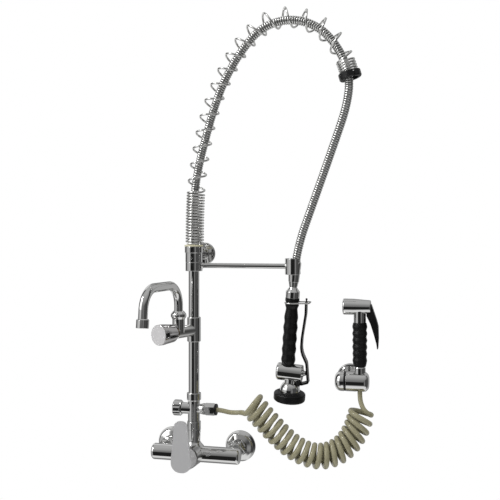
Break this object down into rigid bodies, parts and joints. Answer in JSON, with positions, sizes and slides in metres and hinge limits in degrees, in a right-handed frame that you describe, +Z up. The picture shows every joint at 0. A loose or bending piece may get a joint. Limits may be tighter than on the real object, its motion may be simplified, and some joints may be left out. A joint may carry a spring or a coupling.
{
  "type": "pre rinse faucet",
  "caption": "Wall-mounted pre-rinse faucet: lever mixer, riser with swinging spout, spring hose with spray gun and a hand shower on a coil hose.",
  "frame": {"origin": "on the finished wall, midway between the two water inlets", "axes": "+X along the wall to the right as the user faces it, +Y into the wall, +Z up"},
  "size_m": [0.4747, 0.3003, 0.9315],
  "materials": {
    "chrome": "polished chromium plating on brass",
    "satin_metal": "satin silver plating",
    "stainless": "bright stainless steel",
    "hose_braid": "interlocked steel hose",
    "black_rubber": "black rubber, satin",
    "black_plastic": "black plastic",
    "white_plastic": "white plastic",
    "seat_ring": "cream plastic ring",
    "coil_tube": "olive beige polyurethane tube",
    "brass": "plain brass"
  },
  "bodies": {
    "wall_set": {"wall_rosettes": "chrome", "wall_unions": "chrome", "union_nuts": "chrome", "mixer_body": "chrome", "cartridge_housing": "white_plastic", "cartridge_cap": "chrome", "riser_union_nut": "chrome", "tee_body": "chrome", "hose_outlet_nut": "chrome", "hose_outlet_seal": "black_rubber", "riser_lower": "chrome", "spout_tee_body": "chrome", "spout_headwork": "brass", "spout_swivel_nut": "chrome", "riser_upper": "chrome", "clamp_collar": "chrome", "clamp_grub_screw": "stainless", "riser_top_nut": "chrome", "wall_rod": "chrome", "wall_flange": "chrome", "wall_screws": "stainless", "bracket_plate": "chrome", "bracket_axle": "chrome", "bracket_end_cap": "chrome", "friction_ring": "black_plastic", "coil_hose_lead_in": "coil_tube", "coil_hose": "coil_tube", "coil_hose_lead_out": "coil_tube"},
    "cartridge_ring": {"stem_carrier": "white_plastic"},
    "lever": {"mixer_lever": "satin_metal", "cartridge_stem": "brass"},
    "stop_knob": {"tee_knob": "chrome"},
    "valve_knob": {"spout_knob": "satin_metal"},
    "spout": {"spout_tube": "chrome", "aerator_housing": "chrome", "aerator_insert": "white_plastic"},
    "arm": {"arm_ring": "chrome", "arm_rod": "chrome", "hose_holder": "chrome", "spring_seat": "seat_ring", "spring": "stainless", "spring_end_ring": "black_plastic", "main_hose": "hose_braid"},
    "hose_end": {"hose_nut": "chrome"},
    "gun": {"gun_top_nut": "chrome", "gun_grip": "black_rubber", "gun_valve_body": "chrome", "gun_dome": "chrome", "gun_spray_plate": "stainless", "gun_bumper": "black_rubber", "gun_lever_pin": "stainless"},
    "gun_hold_ring": {"hold_ring": "stainless"},
    "gun_plunger_pin": {"gun_plunger": "stainless"},
    "gun_squeeze_lever": {"gun_lever": "stainless"},
    "holder": {"bracket_holder": "chrome"},
    "handset": {"handset_head": "chrome", "handset_spray_face": "black_plastic", "handset_grip": "black_rubber", "handset_collar": "chrome"},
    "trigger": {"handset_trigger": "black_plastic"}
  },
  "joints": [
    {"name": "lever_turn", "type": "hinge", "parent": "wall_set", "child": "cartridge_ring", "pos_m": [-0.004, -0.1189, 0.00279], "axis": [0, -0.9976, 0.0698], "range_deg": [-40, 40]},
    {"name": "lever_lift", "type": "hinge", "parent": "cartridge_ring", "child": "lever", "pos_m": [-0.004, -0.1189, 0.00279], "axis": [1, 0, 0], "range_deg": [0, 12]},
    {"name": "tee_knob_turn", "type": "hinge", "parent": "wall_set", "child": "stop_knob", "pos_m": [-0.004, -0.079, 0.092], "axis": [-1, 0, 0], "range_deg": [0, 90]},
    {"name": "spout_knob_turn", "type": "hinge", "parent": "wall_set", "child": "valve_knob", "pos_m": [-0.004, -0.079, 0.252], "axis": [-0.3987, -0.9171, 0], "range_deg": [0, 90]},
    {"name": "spout_swivel", "type": "hinge", "parent": "wall_set", "child": "spout", "pos_m": [-0.02274, -0.1221, 0.29], "axis": [0, 0, 1], "range_deg": [-70, 70]},
    {"name": "arm_swing", "type": "hinge", "parent": "wall_set", "child": "arm", "pos_m": [-0.004, -0.079, 0.384], "axis": [0, 0, 1], "range_deg": [-80, 6]},
    {"name": "gun_unhook", "type": "slide", "parent": "arm", "child": "hose_end", "axis": [0.0834, -0.0872, 0.9927], "range_m": [0, 0.025], "deforming": ["main_hose", "spring"]},
    {"name": "gun_swivel", "type": "hinge", "parent": "hose_end", "child": "gun", "pos_m": [0.20038, -0.0749, 0.33784], "axis": [0.0834, -0.0872, 0.9927], "range_deg": [-170, 170]},
    {"name": "gun_lever_squeeze", "type": "hinge", "parent": "gun", "child": "gun_squeeze_lever", "pos_m": [0.20934, -0.05825, 0.14816], "axis": [0, -0.9962, -0.0875], "range_deg": [0, 3.8], "stiffness_Nm_per_rad": 1.2, "springref_deg": -2.86},
    {"name": "gun_plunger_press", "type": "slide", "parent": "gun", "child": "gun_plunger_pin", "axis": [-0.9965, -0.0073, 0.083], "range_m": [0, 0.00136]},
    {"name": "hold_ring_turn", "type": "hinge", "parent": "gun", "child": "gun_hold_ring", "pos_m": [0.19814, -0.07256, 0.31114], "axis": [0.0834, -0.0872, 0.9927], "range_deg": [-6, 6]},
    {"name": "holder_tilt", "type": "hinge", "parent": "wall_set", "child": "holder", "pos_m": [0.31, -0.05, 0.1555], "axis": [1, 0, 0], "range_deg": [-8, 30], "deforming": ["coil_hose_lead_out", "coil_hose"]},
    {"name": "handset_lift", "type": "slide", "parent": "holder", "child": "handset", "axis": [0, 0, 1], "range_m": [0, 0.04], "deforming": ["coil_hose_lead_out", "coil_hose"]},
    {"name": "trigger_press", "type": "hinge", "parent": "handset", "child": "trigger", "pos_m": [0.3485, -0.05, 0.2845], "axis": [0, 1, 0], "range_deg": [0, 7], "stiffness_Nm_per_rad": 0.35, "springref_deg": -2.86}
  ],
  "couplings": [
    {"joint": "gun_plunger_press", "follows": "gun_lever_squeeze", "m_per_rad": 0.0205}
  ]
}
